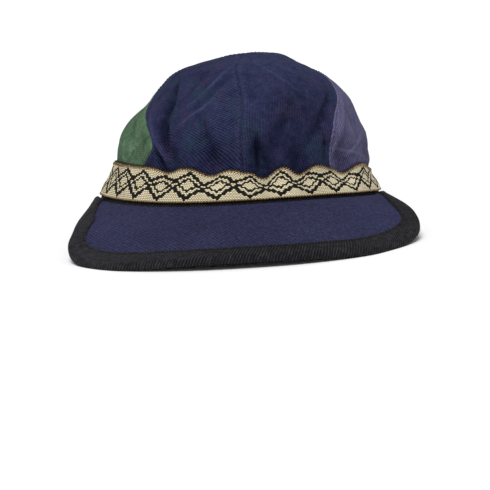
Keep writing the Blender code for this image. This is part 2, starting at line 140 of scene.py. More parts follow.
SLUMP_FOLDS = [
    Fold(4.0, -38, 0, 7.4, -10, -1.5, 4.6),
    Fold(4.2, -32, 0, 7.0, -11, 1.6, 3.6),
    Fold(3.4, -35, 2, 6.2, -16, -1.1, 4.2),
    Fold(2.6, -33, 0, 6.8, -58, 4.2, 4.0),
    Fold(2.3, -35, 0, 4.1, -38, 2.8, 1.8),
    Fold(1.9, -33, 6, 5.2, -66, -1.6, 2.6),
    Fold(1.7, -35, 0, 3.0, -42, 2.8, 1.8),
    Fold(1.9, -11, 2, 5.0, -26, 1.7, 2.6),
    Fold(1.5, -30, 0, 3.0, -33, 1.4, 4.0),
    Fold(1.2, 6, 0, 3.4, 5.6, 3.0, 1.4),
    Fold(1.5, 13, -3, 4.2, 10, -1.2, 3.6),
    Fold(2.4, 10, 0, 5.4, 27, 1.5, 4.6),
    Fold(3.0, 0, 0, 6.4, 10, -0.8, 7.0),
    Fold(2.4, 26, 0, 6.2, 58, 1.9, 4.4),
    Fold(1.7, 37, 0, 3.6, 38.5, 1.5, 1.5),
    Fold(2.2, 43, 0, 5.4, 64, -1.1, 2.8),
    Fold(2.4, 62, 0, 5.2, 66, 1.0, 5.0),
    Fold(1.5, 92, 0, 3.7, 94, -2.0, 16.0),
    Fold(1.4, 88, 0, 2.4, 96, -1.7, 14.0),
    Fold(5.0, -96, 0, 6.6, -112, -2.0, 9.0),
    Fold(2.8, -56, 2, 4.8, -78, 1.4, 4.0),
    Fold(1.9, -64, 0, 3.4, -68, -1.0, 4.0),
    Fold(2.4, -84, 0, 5.4, -80, 1.2, 9.0),
    Fold(2.0, -108, -3, 6.0, -120, 2.2, 7.0),
    Fold(2.6, -112, -3, 6.6, -126, -1.6, 6.0),
    Fold(2.6, 96, 3, 6.0, 112, 2.2, 8.0),
    Fold(2.0, 106, 3, 5.4, 122, -1.6, 6.0),
    Fold(2.6, 166, 4, 7.0, 158, 2.6, 10.0),
    Fold(2.2, 172, 4, 6.4, 168, -1.6, 6.0),
    Fold(2.6, -162, -4, 6.6, -168, -2.0, 8.0),
    Fold(2.2, -156, -4, 5.6, -158, 2.2, 6.0),
    Fold(3.2, 140, 0, 7.6, 146, 1.8, 7.0),
    Fold(3.0, -138, 0, 7.4, -144, 1.6, 7.0),
]

# The sharp creases, which stand up a little and are rubbed pale
CREASES = [
    Fold(4.3, -37, -1, 7.2, -11, -0.5, 2.0),
    Fold(3.5, -34, 2, 6.0, -17, -0.4, 1.8),
    Fold(1.9, -34, 6, 5.2, -67, -0.5, 1.9),
    Fold(2.1, 50, 0, 3.3, 73, -0.4, 2.6),
    Fold(1.8, 80, 0, 2.6, 43, -0.4, 6.0),
    Fold(2.2, 42, 0, 4.6, 54, -0.4, 1.6),
    Fold(5.2, 30, 0, 8.4, 4, -0.3, 1.6),
    Fold(2.2, -62, 0, 3.4, -50, -0.4, 1.6),
    Fold(2.0, -58, 0, 2.8, -78, -0.4, 4.0),
    Fold(3.0, 128, 2, 5.4, 108, -0.4, 1.8),
    Fold(2.6, 176, 2, 5.8, 150, -0.4, 1.8),
    Fold(2.8, -176, 2, 6.0, -150, -0.4, 1.8),
]

# A row for each spot where the cloth is made paler, or darker where its last number is negative. The reach
# is in millimetres.
ToneSpot = namedtuple("ToneSpot", "station angle reach wear")
TONE_SPOTS = [
    ToneSpot(4.3, 22, 15, -0.40),
    ToneSpot(2.5, 25, 9, 0.15),
    ToneSpot(6.6, -33, 12, -0.20),
    ToneSpot(4.2, -39, 7, -0.25),
    ToneSpot(5.0, -18, 8, 0.25),
    ToneSpot(2.5, -57, 9, 0.65),
    ToneSpot(3.2, -50, 5, -0.50),
    ToneSpot(3.4, 60, 8, 0.20),
]


def mix(a, b, share):
    return a + (b - a) * share


def ease(share):
    """A smooth step from 0 to 1 as the share goes from 0 to 1."""
    share = np.clip(share, 0.0, 1.0)
    return share * share * (3 - 2 * share)


def through(places, values, at):
    """Heights of a smooth curve through the values, one for each place."""
    places, values = np.array(places, float), np.array(values, float)
    rise, run = np.diff(values), np.diff(places)
    inner = (values[2:] - values[:-2]) / (places[2:] - places[:-2])
    slopes = np.concatenate([rise[:1] / run[:1], inner, rise[-1:] / run[-1:]])
    i = np.clip(np.searchsorted(places, at, side="right") - 1, 0, len(places) - 2)
    t = (at - places[i]) / run[i]
    bends = t * (1 - t) ** 2 * slopes[i] + t * t * (t - 1) * slopes[i + 1]
    return mix(values[i], values[i + 1], t * t * (3 - 2 * t)) + bends * run[i]


def column(table, name, at, places=None):
    """One column of a table at places between its rows."""
    places = range(len(table)) if places is None else places
    return through(places, [getattr(row, name) for row in table], at)


def smooth_crown(angle, station):
    """Points of the crown before it is folded, with the cap level."""
    angle, station = np.broadcast_arrays(np.asarray(angle, float), np.asarray(station, float))
    left, right, front, back = (column(CROWN, name, station) for name in ("left", "right", "front", "back"))
    turn = np.radians(angle)
    x = ((left + right) + (right - left) * np.sin(turn)) / 2 * RIM_HALF_WIDTH
    y = ((front + back) - (back - front) * np.cos(turn)) / 2 * RIM_HALF_DEPTH
    twist = RIM_TWIST * np.sin(turn) ** 3 * (1 - station / TOP)
    z = column(CROWN, "height", station) * CROWN_HEIGHT - twist
    return np.stack([x, y, z], -1)


def unit(vectors):
    return vectors / np.linalg.norm(vectors, axis=-1, keepdims=True)


def one_degree(angle, station):
    """The step of one degree round the crown."""
    return smooth_crown(angle + 0.5, station) - smooth_crown(angle - 0.5, station)


def crown_normal(angle, station):
    """The outward direction of the crown."""
    upwards = smooth_crown(angle, station + STATION_STEP) - smooth_crown(angle, station - STATION_STEP)
    return unit(np.cross(one_degree(angle, station), upwards))


def fold_depth(folds, angle, station):
    """How far the folds draw the cloth in."""
    depth = 0.0
    for fold in folds:
        along = (station - fold.low_station) / (fold.high_station - fold.low_station)
        middle = mix(fold.low_angle, fold.high_angle, along) + fold.bow * 4 * along * (1 - along)
        off = np.radians((angle - middle + 180.0) % 360.0 - 180.0) * RIM_HALF_WIDTH / (fold.width * MM)
        fade = np.sin(math.pi * np.clip(along, 0.0, 1.0)) ** FOLD_FADE
        depth = depth + fold.depth * MM * fade * np.exp(-off * off)
    return depth


def rumple(angle, station):
    """Shallow waves all over the cloth, in three sizes."""
    turn = np.radians(angle)
    wave = np.sin(9 * turn + 1.7 * station) * np.sin(1.3 * station + 2.0 * np.sin(3 * turn))
    wave += 0.7 * np.sin(17 * turn - 2.3 * station + 1.0) * np.sin(2.1 * station - 4 * turn)
    wave += 0.5 * np.sin(29 * turn + 3.1 * station) * np.cos(3.7 * station + 11 * turn)
    return wave * RUMPLE * ease(station / RUMPLE_OVER)


def crown(angle, station, rise=0.0):
    """Points a distance outside the folded crown, or inside it where the distance is negative."""
    depth = fold_depth(PINCHES + SLUMP_FOLDS + CREASES, angle, station) + rumple(angle, station)
    out = np.asarray(rise - depth - CLOTH_SLACK * ease((station - SLACK_FROM) / SLACK_OVER))
    return smooth_crown(angle, station) + crown_normal(angle, station) * out[..., None]


# Where the strap will lie, because the cloth is painted darker along its upper edge, as the strap's shadow
STRAP_WIDTH = 20.5 * MM
STRAP_LIFT = 2.2 * MM
STRAP_DIP = 7.0 * MM
STRAP_SKEW = 2.4 * MM
DEEPEST_PINCH = 3.5 * MM


def station_per_metre(angle):
    """How many stations a metre up the cloth from the rim takes."""
    step = smooth_crown(angle, STATION_STEP) - smooth_crown(angle, 0.0)
    return STATION_STEP / np.linalg.norm(step, axis=-1)


def strap_pinch(angle):
    """How far the strap's upper edge is drawn in, from 0 to 1."""
    upper_edge = (STRAP_LIFT + STRAP_WIDTH) * station_per_metre(angle)
    return np.minimum(1.0, fold_depth(PINCHES, angle, upper_edge) / DEEPEST_PINCH)


def strap_height(angle):
    """How far up the cloth from the rim the strap's upper edge lies."""
    return STRAP_LIFT + STRAP_WIDTH - STRAP_DIP * strap_pinch(angle) - STRAP_SKEW * np.sin(np.radians(angle))


def rested(points):
    """The points in the cap's resting place, pressed flat where they would sink into the floor."""
    turn = np.array(Matrix.Rotation(-LEAN, 3, "X"))
    laid = points @ turn.T + RESTING_PLACE
    laid[..., 2] = np.maximum(laid[..., 2], 0.0)
    return laid


def placed(name, mesh):
    """An object of the mesh, in the scene."""
    piece = bpy.data.objects.new(name, mesh)
    bpy.context.scene.collection.objects.link(piece)
    return piece


def swept_piece(name, sections, uvs, wear=None, loop=False):
    """A closed mesh from rings of points swept along a piece. A ring goes out along the piece's face and
    returns along its back, so the quads that close its two ends join opposite points."""
    count, size = sections.shape[:2]
    ring, step = np.meshgrid(np.arange(count if loop else count - 1), np.arange(size), indexing="ij")
    ring, step = ring.ravel(), step.ravel()
    corners = [(ring, step), (ring, step + 1), (ring + 1, step + 1), (ring + 1, step)]
    faces = np.stack([(r % count) * size + s % size for r, s in corners], -1)
    face_uvs = np.stack([uvs[r, s] for r, s in corners], 1)
    if not loop:
        half = np.arange(size // 2 - 1)
        for at, turned in ((0, True), (count - 1, False)):
            steps = [half, half + 1, size - 2 - half, size - 1 - half]
            steps = steps[::-1] if turned else steps
            faces = np.concatenate([faces, np.stack([at * size + s for s in steps], -1)])
            face_uvs = np.concatenate([face_uvs, np.stack([uvs[at, s] for s in steps], 1)])
    points = rested(sections.reshape(-1, 3))
    a, b, c, d = (points[faces[:, k]] for k in range(4))
    if (np.cross(c - a, d - b) * (a + b + c + d)).sum() < 0:
        faces, face_uvs = faces[:, ::-1], face_uvs[:, ::-1]
    mesh = bpy.data.meshes.new(name)
    mesh.from_pydata(points.tolist(), [], faces.tolist())
    mesh.uv_layers.new(name="cloth").data.foreach_set("uv", face_uvs.ravel())
    if wear is not None:
        mesh.attributes.new("wear", "FLOAT", "POINT").data.foreach_set("value", wear.ravel())
    mesh.shade_smooth()
    mesh.set_sharp_from_angle(angle=SHARP_EDGE)
    return placed(name, mesh)


class Wire:
    """The output of a node. Python's operators on it add Math nodes."""

    def __init__(self, tree, socket):
        self.tree, self.socket = tree, socket

    def node(self, kind, settings=None, inputs=None, output=0):
        """A node of any kind. Its settings are set first, and then its sockets get values or links."""
        made = self.tree.nodes.new(kind)
        for name, value in (settings or {}).items():
            setattr(made, name, value)
        for name, value in (inputs or {}).items():
            if isinstance(value, Wire):
                self.tree.links.new(value.socket, made.inputs[name])
            else:
                made.inputs[name].default_value = value
        return Wire(self.tree, made.outputs[output])

    def maths(self, operation, *values):
        return self.node("ShaderNodeMath", {"operation": operation}, dict(enumerate(values)))

    def __add__(self, other):
        return self.maths("ADD", self, other)

    __radd__ = __add__

    def __sub__(self, other):
        return self.maths("SUBTRACT", self, other)

    def __rsub__(self, other):
        return self.maths("SUBTRACT", other, self)

    def __mul__(self, other):
        return self.maths("MULTIPLY", self, other)

    __rmul__ = __mul__

    def __truediv__(self, other):
        return self.maths("DIVIDE", self, other)

    def __lt__(self, other):
        return self.maths("LESS_THAN", self, other)

    def __gt__(self, other):
        return self.maths("GREATER_THAN", self, other)

    def __abs__(self):
        return self.maths("ABSOLUTE", self)

    def whole(self):
        return self.maths("FLOOR", self)

    def fraction(self):
        return self.maths("FRACT", self)

    def clamped(self):
        return self.node("ShaderNodeClamp", inputs={"Value": self})

    def cosine(self, wavelength):
        """Waves from -1 to 1 along this value."""
        return self.maths("COSINE", self * (2 * math.pi / wavelength))

    def colours(self, low, high):
        """A colour between two as this value goes from 0 to 1. Either may be a wire."""
        low, high = (c if isinstance(c, Wire) else (*c, 1.0) for c in (low, high))
        return self.node("ShaderNodeMix", {"data_type": "RGBA", "clamp_factor": True},
                         {0: self, 6: low, 7: high}, output=2)

    def patches(self, size, detail=2.0, shift=0.0):
        """Noise from 0 to 1 over this vector, in blotches of about this size."""
        moved = self.node("ShaderNodeVectorMath", {"operation": "ADD"}, {0: self, 1: (shift, shift, shift)})
        noise = self.node("ShaderNodeTexNoise", {}, {"Vector": moved, "Scale": 1 / size, "Detail": detail,
                                                    "Roughness": 0.55})
        return ((noise - 0.5) * 2.2 + 0.5).clamped()

    def lit(self, light):
        """This colour times a brightness."""
        return self.node("ShaderNodeVectorMath", {"operation": "SCALE"}, {0: self, 3: light})

    def near(self, middle, reach):
        """1 where this vector is at the middle, and 0 from a distance on."""
        ends = {0: self, 1: (*middle, 0.0)}
        away = self.node("ShaderNodeVectorMath", {"operation": "DISTANCE"}, ends, output="Value")
        return (1.0 - away / reach).clamped()

    def part(self, number):
        """One of a vector's three numbers."""
        return self.node("ShaderNodeSeparateXYZ", inputs={0: self}, output=number)

    def twill(self, slant, pitch, thread, dotted):
        """The height of a twill over this UV map: slanting lines, partly dotted by their threads."""
        turn = math.radians(slant)
        along, up = self.part(0), self.part(1)
        across_lines = up * math.cos(turn) - along * math.sin(turn)
        along_lines = along * math.cos(turn) + up * math.sin(turn)
        lines = across_lines.cosine(pitch)
        dots = (along_lines + across_lines * 0.5).cosine(thread)
        return lines * (1 - dotted) + lines * dots * dotted


def new_material(name, roughness, shine=0.08):
    """A material, and wires for the piece's own UV map and for its place."""
    material = bpy.data.materials.new(name)
    material.use_nodes = True
    shader = material.node_tree.nodes["Principled BSDF"]
    shader.inputs["Roughness"].default_value = roughness
    shader.inputs["Specular IOR Level"].default_value = shine
    start = Wire(material.node_tree, None)
    uv = start.node("ShaderNodeUVMap", {"uv_map": "cloth"})
    place = start.node("ShaderNodeTexCoord", output="Object")
    return material, uv, place


def finished(material, colour, height, depth):
    """The material with this colour, and with the height as a bump this deep."""
    shader = material.node_tree.nodes["Principled BSDF"]
    bump = colour.node("ShaderNodeBump", {}, {"Height": height, "Distance": depth, "Strength": 1.0})
    colour.tree.links.new(colour.socket, shader.inputs["Base Color"])
    colour.tree.links.new(bump.socket, shader.inputs["Normal"])
    return material


TWILL_PITCH = 1.60 * MM
THREAD_PITCH = 1.7 * MM
CAST_MIDDLE = (18.0 * MM, 54.0 * MM)
CAST_REACH = 30.0 * MM

# Colours of a washed cloth: where it is still deep, where it has worn pale, and two casts it has taken on
Dye = namedtuple("Dye", "deep worn cool warm")
NAVY = Dye(deep=(0.0075, 0.0088, 0.0300), worn=(0.0300, 0.0335, 0.0820),
           cool=(0.0150, 0.0270, 0.0520), warm=(0.0265, 0.0215, 0.0560))
GREEN = Dye(deep=(0.0330, 0.0700, 0.0360), worn=(0.1040, 0.1750, 0.1080),
            cool=(0.0430, 0.0950, 0.0580), warm=(0.0700, 0.1110, 0.0600))
VIOLET = Dye(deep=(0.0540, 0.0500, 0.1100), worn=(0.1220, 0.1120, 0.1930),
             cool=(0.0700, 0.0770, 0.1570), warm=(0.1100, 0.0900, 0.1600))

# A row for each panel, from its low seam to its high one. Folded tells at which of the two the folded edges
# lie under it. Twill names its material: the slant of its lines is in degrees, shown is how plainly they
# show, the seed shifts its blotches, and the cast is how much cooler it has turned in one wide spot.
Panel = namedtuple("Panel", "node low_seam high_seam folded twill dye slant shown seed cast", defaults=[0.0])
PANELS = [
    Panel("front_panel_left", "left", "centre", (True, False), "navy_twill_left", NAVY, -37, 0.9, 0.0, 1.3),
    Panel("front_panel_right", "centre", "right", (True, False), "navy_twill_right", NAVY, -76, 0.4, 4.3),
    Panel("side_panel_green", "back_left", "left", (False, False), "green_twill", GREEN, -52, 0.1, 8.1),
    Panel("side_panel_purple", "right", "back_right", (True, False), "violet_twill", VIOLET, 52, 0.5, 12.7),
    Panel("back_panel", "back_right", "back_left", (True, True), "navy_twill_back", NAVY, -45, 0.4, 17.9),
]


def washed_twill(panel):
    """Faded cotton twill: diagonal lines of dotted thread, worn pale on its ridges and blotched by washing.
    Where the attribute is negative, the cloth is darker: painted shade in the fold valleys, the strap's
    painted shadow and the darker spots."""
    material, uv, place = new_material(panel.twill, 0.95)
    dye, seed = panel.dye, panel.seed
    weave = uv.twill(panel.slant, TWILL_PITCH, THREAD_PITCH, 0.5)
    wear = uv.node("ShaderNodeAttribute", {"attribute_name": "wear"}, output="Fac")
    # The fade takes in the wear together with its painted light and shade.
    fade = (place.patches(34 * MM, 3.0, seed) * 0.30 + place.patches(5 * MM, 5.0, seed + 3) * 0.46
            + wear * 0.65).clamped()
    cast = uv.near(CAST_MIDDLE, CAST_REACH) * panel.cast
    cool = ((place.patches(15 * MM, 3.0, seed + 7) - 0.60) * 4 + cast).clamped() * 0.70
    warm = ((place.patches(17 * MM, 3.0, seed + 11) - 0.60) * 4).clamped() * 0.55
    colour = warm.colours(cool.colours(fade.colours(dye.deep, dye.worn), dye.cool), dye.warm)
    showing = (place.patches(24 * MM, 1.0, seed + 5) * 1.2 + 0.7 - uv.part(1) * 14.0).clamped()
    light = 1.0 + weave * (showing * panel.shown + 0.08) + (place.patches(1.7 * MM, 3.0, seed) - 0.5) * 0.60
    # Painted shade: darker still where the value is negative, in the fold valleys and above the strap.
    light = light + wear.maths("MINIMUM", wear * 0.45, 0.0)
    return finished(material, colour.lit(light), weave * (showing * 0.7 + 0.3), 0.16 * MM)


def run_along(points, axis=0):
    """The distance of each point from the first one, along an axis of the array."""
    steps = np.linalg.norm(np.diff(points, axis=axis), axis=-1)
    return np.concatenate([0.0 * steps.take([0], axis), steps.cumsum(axis)], axis)


def panel_columns(width):
    """Shares of a panel's width, close together by its seams."""
    near = np.array([0.0, 0.4, 0.8, 1.3, 1.9, 2.6, 3.4, 4.3, 5.2, 6.2]) * MM
    spare = width - 2 * near[-1]
    middle = near[-1] + spare * np.linspace(0.0, 1.0, max(2, round(spare / COLUMN_WIDTH)))[1:-1]
    return np.concatenate([near, middle, width - near[::-1]]) / width


def seam_relief(away, folded):
    """How the cloth stands by a seam: drawn in at the seam, and raised over the folded edges beside it."""
    dip = -SEAM_DIP * np.exp(-(away / SEAM_DIP_WIDTH) ** 2)
    rise = SEAM_RISE * ease(away / SEAM_SHOULDER) * (1 - ease((away - SEAM_ALLOWANCE) / ALLOWANCE_EDGE))
    return dip + (rise if folded else 0.4 * rise)


def spot_tone(angle, station):
    """What the paler and darker spots add."""
    wear = 0.0
    for mark in TONE_SPOTS:
        around = np.radians(angle - mark.angle) * RIM_HALF_WIDTH
        upwards = (station - mark.station) / station_per_metre(angle)
        wear = wear + mark.wear * np.exp(-(around ** 2 + upwards ** 2) / (mark.reach * MM) ** 2)
    return wear


def cloth_wear_and_painted_light(angle, station, from_seam):
    """How pale the cloth is: worn more on ridges, on creases and by seams, painted darker as shade in the
    fold valleys and as the strap's shadow above it, and painted paler towards the top as light from above.
    """
    depth = fold_depth(PINCHES + SLUMP_FOLDS, angle, station)
    # Ridges are worn paler, and the fold valleys are painted darker as shade.
    ridge_wear_and_valley_shade = np.clip(-depth / RIDGE_HEIGHT, -1.0, 1.0)
    rubbed = np.clip(-fold_depth(CREASES, angle, station) / CREASE_HEIGHT, 0.0, 1.0)
    near_seam = np.exp(-((from_seam - SEAM_WEAR_AT) / WEAR_AND_SHADOW_WIDTH) ** 2)
    over_strap = station / station_per_metre(angle) - strap_height(angle)
    # Painted shadow: a dark band on the cloth just above the strap's upper edge.
    painted_strap_shadow = np.exp(-(over_strap / WEAR_AND_SHADOW_WIDTH) ** 2)
    # Painted light: paler towards the top, most on the right side, as the light from above falls there.
    painted_top_light = ease((station - TOP_LIGHT_FROM) / TOP_LIGHT_OVER) * (1 + np.sin(np.radians(angle))) / 2
    wear = ridge_wear_and_valley_shade * 0.6 + rubbed * 0.8 + near_seam * 0.3 + painted_top_light * 0.6 - painted_strap_shadow * 1.1
    return wear + spot_tone(angle, station)


def crown_panel(panel, material):
    """One panel, from seam to seam and from the rim to the top."""
    name = panel.node
    stations = np.linspace(0.0, TOP, CROWN_ROWS)
    low = column(SEAMS, panel.low_seam, stations)
    high = low + (column(SEAMS, panel.high_seam, stations) - low) % 360.0
    shares = panel_columns(math.radians(high[0] - low[0]) * RIM_HALF_WIDTH)
    angle = mix(low[:, None], high[:, None], shares[None, :])
    station = np.broadcast_to(stations[:, None], angle.shape)
    cloth = crown(angle, station)
    around, upwards = run_along(cloth, 1), run_along(cloth, 0)
    width = around[:, -1:]
    relief = seam_relief(around, panel.folded[0]) + seam_relief(width - around, panel.folded[1])
    outer = crown(angle, station, relief * ease((TOP - station) / SEAM_FADE))
    inner = outer - crown_normal(angle, station) * CLOTH_WALL
    wear = cloth_wear_and_painted_light(angle, station, np.minimum(around, width - around))
    uv = np.stack([around - width / 2, upwards], -1)
    sections = np.concatenate([outer, inner[:, ::-1]], 1)
    uvs = np.concatenate([uv, uv[:, ::-1], uv[:, :1]], 1)
    wears_and_painted_light = np.concatenate([wear, np.zeros_like(wear)], 1)
    piece = swept_piece("cloth_" + name, sections, uvs, wears_and_painted_light)
    piece.data.materials.append(material)
    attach(piece, "root")
    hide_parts(name)


for row in PANELS:
    crown_panel(row, washed_twill(row))


# The stitching of the crown: navy cotton thread in a straight row on the side of each seam where the folded
# edges lie, and on both sides of the centre seam.

STITCH_PITCH = 2.9 * MM
STITCH_LENGTH = 2.3 * MM
THREAD_RADIUS = 0.22 * MM
ROW_FROM_SEAM = 1.7 * MM
ROW_LIFT = 0.1 * MM
ROW_POINTS = 160
ROWS_END = TOP - 1.2


def stitch_tree():
    """A node tree that lays a stitch at even steps along a line, turned the way the line's own lay says."""
    tree = bpy.data.node_groups.new("stitch_row", "GeometryNodeTree")
    kinds = {"Line": "Geometry", "Pitch": "Float", "Stitch Length": "Float", "Thread Radius": "Float",
             "Thread": "Material"}
    for name, kind in kinds.items():
        tree.interface.new_socket(name, in_out="INPUT", socket_type="NodeSocket" + kind)
    tree.interface.new_socket("Stitches", in_out="OUTPUT", socket_type="NodeSocketGeometry")
    node = Wire(tree, None).node
    given = {name: node("NodeGroupInput", output=name) for name in kinds}
    line = node("GeometryNodeMeshToCurve", {}, {"Mesh": given["Line"]})
    steps = node("GeometryNodeResampleCurve", {"mode": "LENGTH"}, {"Curve": line, "Length": given["Pitch"]})
    ball = node("GeometryNodeMeshUVSphere", {}, {"Segments": 6, "Rings": 5, "Radius": 1.0})
    ball = node("GeometryNodeSetShadeSmooth", {}, {"Geometry": ball})
    lay = node("GeometryNodeInputNamedAttribute", {"data_type": "FLOAT_VECTOR"}, {"Name": "lay"})
    turned = node("FunctionNodeAlignRotationToVector", {"axis": "Z"}, {"Vector": lay})
    size = node("ShaderNodeCombineXYZ", {}, {"X": given["Thread Radius"], "Y": given["Thread Radius"],
                                             "Z": given["Stitch Length"] * 0.5})
    rows = node("GeometryNodeInstanceOnPoints", {}, {"Points": steps, "Instance": ball, "Rotation": turned,
                                                     "Scale": size})
    solid = node("GeometryNodeRealizeInstances", {}, {"Geometry": rows})
    dressed = node("GeometryNodeSetMaterial", {}, {"Geometry": solid, "Material": given["Thread"]})
    tree.links.new(dressed.socket, tree.nodes.new("NodeGroupOutput").inputs["Stitches"])
    return tree


def made_plain(name, host):
    """A plain piece with the shape that the host's modifiers give it. The host is taken away."""
    plain = bpy.data.meshes.new_from_object(host.evaluated_get(bpy.context.evaluated_depsgraph_get()))
    bpy.data.objects.remove(host, do_unlink=True)
    return placed(name, plain)


def stitched(name, rows, pitch, length, radius, thread, tree):
    """Stitches along rows, each of them the points of a line and the directions of its stitches."""
    lines, lays = zip(*rows)
    host_mesh = bpy.data.meshes.new(name)
    starts = np.cumsum([0] + [len(line) for line in lines])
    edges = [(s + i, s + i + 1) for s, line in zip(starts, lines) for i in range(len(line) - 1)]
    host_mesh.from_pydata(np.concatenate(lines).tolist(), edges, [])
    lay = host_mesh.attributes.new("lay", "FLOAT_VECTOR", "POINT")
    lay.data.foreach_set("vector", np.concatenate(lays).ravel())
    host = placed(name + "_lines", host_mesh)
    sewing = host.modifiers.new("stitches", "NODES")
    sewing.node_group = tree
    sockets = {item.name: item.identifier for item in tree.interface.items_tree if item.in_out == "INPUT"}
    given = {"Pitch": pitch, "Stitch Length": length, "Thread Radius": radius, "Thread": thread}
    for socket, value in given.items():
        sewing[sockets[socket]] = value
    piece = made_plain(name, host)
    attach(piece, "root")
    return piece


def thread_material(name, colour, pale):
    """Twisted thread, a little paler where it is rubbed."""
    material, uv, place = new_material(name, 0.8)
    twist = place.patches(1.2 * MM)
    return finished(material, twist.colours(colour, pale), twist, 0.05 * MM)


def stitch_row_by(seam, side):
    """Points and directions of a row of stitches beside a seam, on its -1 or +1 side."""
    stations = np.linspace(0.0, ROWS_END, ROW_POINTS)
    angles = column(SEAMS, seam, stations)
    beside = angles + side * ROW_FROM_SEAM / np.linalg.norm(one_degree(angles, stations), axis=-1)
    points = rested(crown(beside, stations, SEAM_RISE + ROW_LIFT))
    return points, unit(np.gradient(points, axis=0))


stitch_rows = stitch_tree()
rows_by = [("centre", -1), ("centre", 1), ("left", 1), ("right", 1), ("back_left", -1), ("back_right", 1)]
navy_thread = thread_material("navy_thread", (0.022, 0.025, 0.060), (0.062, 0.066, 0.124))
crown_stitches = stitched("crown_stitches", [stitch_row_by(seam, side) for seam, side in rows_by],
                          STITCH_PITCH, STITCH_LENGTH, THREAD_RADIUS, navy_thread, stitch_rows)


# The rim's tape: black ribbed tape folded over the raw edge of the crown and sewn through both of its legs.
# Only its lower edge shows below the strap.

TAPE = 1.0 * MM
CLEARANCE = 0.3 * MM
RIM_TAPE_OUTSIDE = 4.0 * MM
RIM_TAPE_INSIDE = 8.0 * MM
RIM_COLUMNS = 540
RIB_PITCH = 1.7 * MM
TAPE_SEAM = 1.8 * MM
TAPE_SEAM_WIDTH = 0.7 * MM
TAPE_ROUNDING = 0.8 * MM
LONGEST_ROUND = 0.45
SIDE_LIGHT_LEAST_AT = 20.0 * MM


def by_the_rim(angle, up, outwards):
    """Points near the rim: a distance up the cloth from its edge, or below it, and one outside it."""
    station = np.maximum(up, 0.0) * station_per_metre(angle)
    down = unit(smooth_crown(angle, 0.0) - smooth_crown(angle, STATION_STEP))
    return crown(angle, station, outwards) + down * np.maximum(-up, 0.0)[..., None]


def rounded(profile, radius):
    """A closed outline of (up, outwards) corners, each rounded with four points."""
    corners = np.array(profile)
    points = []
    for before, corner, after in zip(np.roll(corners, 1, 0), corners, np.roll(corners, -1, 0)):
        to_before, to_after = before - corner, after - corner
        shorter = min(np.linalg.norm(to_before), np.linalg.norm(to_after))
        reach = min(radius, shorter * LONGEST_ROUND)
        start, end = corner + unit(to_before) * reach, corner + unit(to_after) * reach
        for t in np.linspace(0.0, 1.0, 4):
            points.append((1 - t) ** 2 * start + 2 * t * (1 - t) * corner + t * t * end)
    return np.array(points)


def ribbed_tape(name, pale):
    """Black tape with ribs across it, which catch the light a little. It is painted paler towards both
    sides, as light.
    """
    material, uv, place = new_material(name, 0.75, 0.15)
    along, across = uv.part(0), uv.part(1)
    sway = place.patches(6 * MM, 2.0, 5.0) * (0.6 * MM)
    ribs = (along + across * 0.4 + sway).cosine(RIB_PITCH) * (place.patches(14 * MM, 2.0, 9.0) * 0.7 + 0.4)
    threads = across.cosine(0.7 * MM)
    # Painted light: paler away from a line just right of the middle.
    painted_side_light = abs(place.part(0) - SIDE_LIGHT_LEAST_AT) * 2.3
    light = ribs * 0.48 + threads * 0.12 + (place.patches(2.5 * MM, 5.0) - 0.5) * 0.9 + 0.12 + painted_side_light
    # Painted shade: darker in a narrow line along the seam's groove.
    groove_shade = abs(across - TAPE_SEAM) < TAPE_SEAM_WIDTH / 2
    colour = (light - groove_shade * 0.5).clamped().colours((0.0030, 0.0030, 0.0042), pale)
    return finished(material, colour, ribs + threads * 0.2, 0.30 * MM)


def rim_tape():
    """The tape as a loop: from the outside round the rim's edge to the inside, and back."""
    outside = CLEARANCE + TAPE
    inside = -CLOTH_WALL - CLEARANCE - TAPE
    profile = rounded([
        (RIM_TAPE_OUTSIDE, outside), (-CLEARANCE - TAPE, outside),
        (-CLEARANCE - TAPE, inside), (RIM_TAPE_INSIDE, inside),
        (RIM_TAPE_INSIDE, -CLOTH_WALL - CLEARANCE), (-CLEARANCE, -CLOTH_WALL - CLEARANCE),
        (-CLEARANCE, CLEARANCE), (RIM_TAPE_OUTSIDE, CLEARANCE)], TAPE_ROUNDING)
    angles = np.linspace(0.0, 360.0, RIM_COLUMNS + 1)
    sections = by_the_rim(angles[:-1, None], profile[None, :, 0], profile[None, :, 1])
    along = np.radians(angles) * (RIM_HALF_WIDTH + RIM_HALF_DEPTH) / 2
    across = np.append(run_along(profile), 0.0)
    uvs = np.stack(np.broadcast_arrays(along[:, None], across[None, :]), -1)
    return swept_piece("tape_round_rim", sections, uvs, loop=True)


rim_piece = rim_tape()
rim_piece.data.materials.append(ribbed_tape("black_rim_tape", (0.030, 0.030, 0.034)))
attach(rim_piece, "root")
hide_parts("rim_binding")


# The strap: cotton webbing woven with a black pattern of zigzag lines on an undyed ground, drawn round the
# crown above the rim. Its lower edge follows the rim and its upper edge is gathered with the cloth.

STRAP_THICKNESS = 1.3 * MM
STRAP_BILLOW = 0.2 * MM
STRAP_PLAY = 0.6 * MM
STRAP_BACK_FADE = 16.0 * MM
STRAP_SETTLE = 6.0 * MM
SLIDER_WIDTH = 28.0 * MM
SLIDER_BACK = 1.2 * MM
SLIDER_PLAY = 0.7 * MM
STRAP_COLUMNS = 720
STRAP_ROWS = 14
STRAP_ROUNDING = 0.55 * MM
PATTERN_REPEATS = 31
PATTERN_START = 4.5 * MM
KNOT_LENGTH = 1.5 * MM
KNOT_HEIGHT = 1.0 * MM
BROWN_EDGE_FROM = 0.465
BROWN_PITCH = 1.6 * MM
RIGHT_LIGHT_FROM = 15.0 * MM

